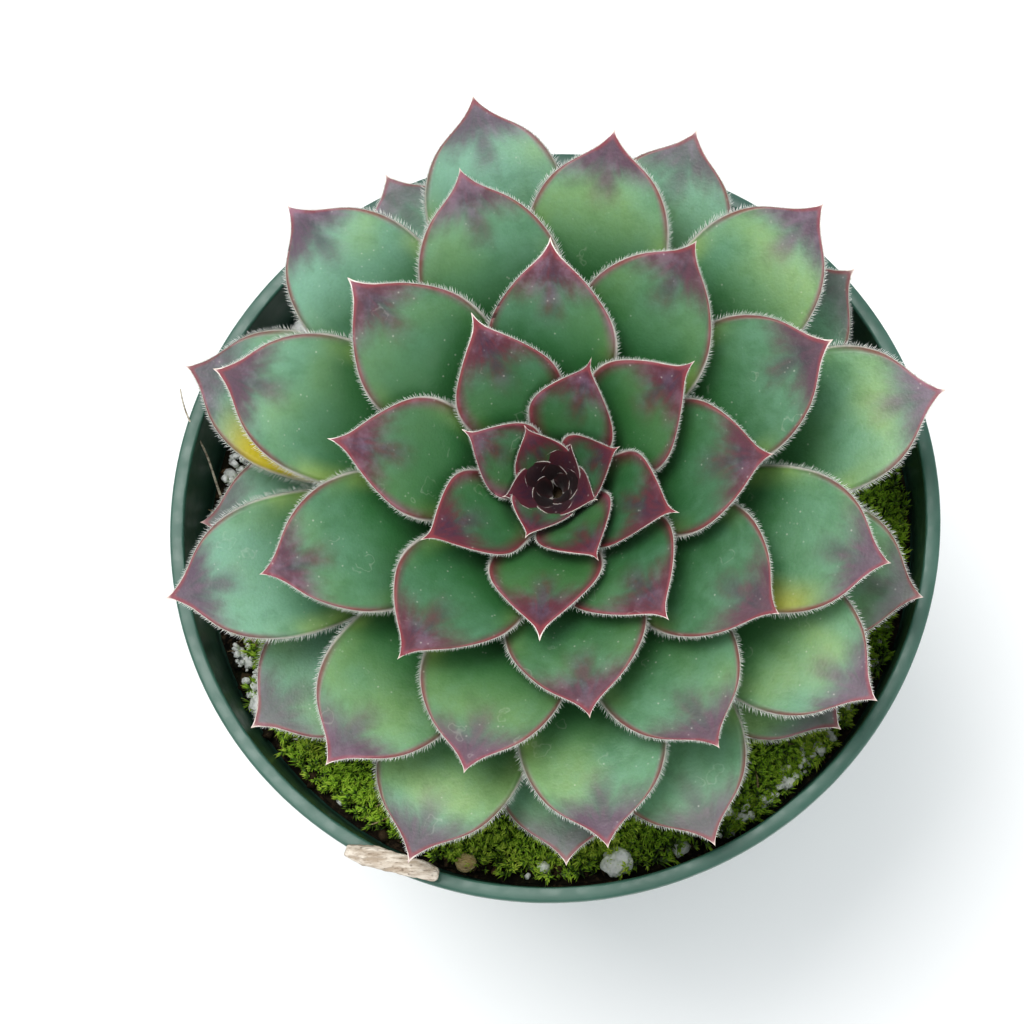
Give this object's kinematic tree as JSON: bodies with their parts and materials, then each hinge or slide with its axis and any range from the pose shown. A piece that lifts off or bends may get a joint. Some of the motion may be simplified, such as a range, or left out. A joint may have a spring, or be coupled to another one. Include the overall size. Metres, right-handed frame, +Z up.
{
  "type": "potted succulent",
  "caption": "Hens-and-chicks rosette of thick pointed leaves with red tips, rooted in mossy potting mix in a round tapered plastic nursery pot.",
  "frame": {"origin": "middle of the pot's flat underside, on the surface it stands on", "axes": "+Z up along the pot's axis; -Y is the side the viewer stood on, the rosette leans slightly towards -X and -Y"},
  "size_m": [0.1142, 0.1157, 0.1227],
  "materials": {
    "pot": "dark green moulded plastic, satin",
    "mix": "dark damp peat potting mix",
    "crown": "pale fibrous stem",
    "leaf": "waxy green leaf with maroon tip and pale hairs along its edge",
    "moss": "soft green moss",
    "perlite": "white expanded mineral grain",
    "bark": "weathered pale bark"
  },
  "bodies": {
    "root": {"pot": "pot", "potting_mix": "mix", "crown": "crown", "growing_point": "leaf", "leaf_01": "leaf", "leaf_02": "leaf", "leaf_03": "leaf", "leaf_04": "leaf", "leaf_05": "leaf", "leaf_06": "leaf", "leaf_07": "leaf", "leaf_08": "leaf", "leaf_09": "leaf", "leaf_10": "leaf", "leaf_11": "leaf", "leaf_12": "leaf", "leaf_13": "leaf", "leaf_14": "leaf", "leaf_15": "leaf", "leaf_16": "leaf", "leaf_17": "leaf", "leaf_18": "leaf", "leaf_19": "leaf", "leaf_20": "leaf", "leaf_21": "leaf", "leaf_22": "leaf", "leaf_23": "leaf", "leaf_24": "leaf", "leaf_25": "leaf", "leaf_26": "leaf", "leaf_27": "leaf", "leaf_28": "leaf", "leaf_29": "leaf", "leaf_30": "leaf", "leaf_31": "leaf", "leaf_32": "leaf", "leaf_33": "leaf", "leaf_34": "leaf", "leaf_35": "leaf", "leaf_36": "leaf", "leaf_37": "leaf", "leaf_38": "leaf", "leaf_39": "leaf", "leaf_40": "leaf", "leaf_41": "leaf", "leaf_42": "leaf", "leaf_43": "leaf", "leaf_44": "leaf", "leaf_45": "leaf", "leaf_46": "leaf", "moss_front": "moss", "moss_right": "moss", "moss_left": "moss", "perlite_front": "perlite", "perlite_left": "perlite", "perlite_back": "perlite", "bark_stick": "bark", "bark_chip": "bark"}
  },
  "joints": []
}
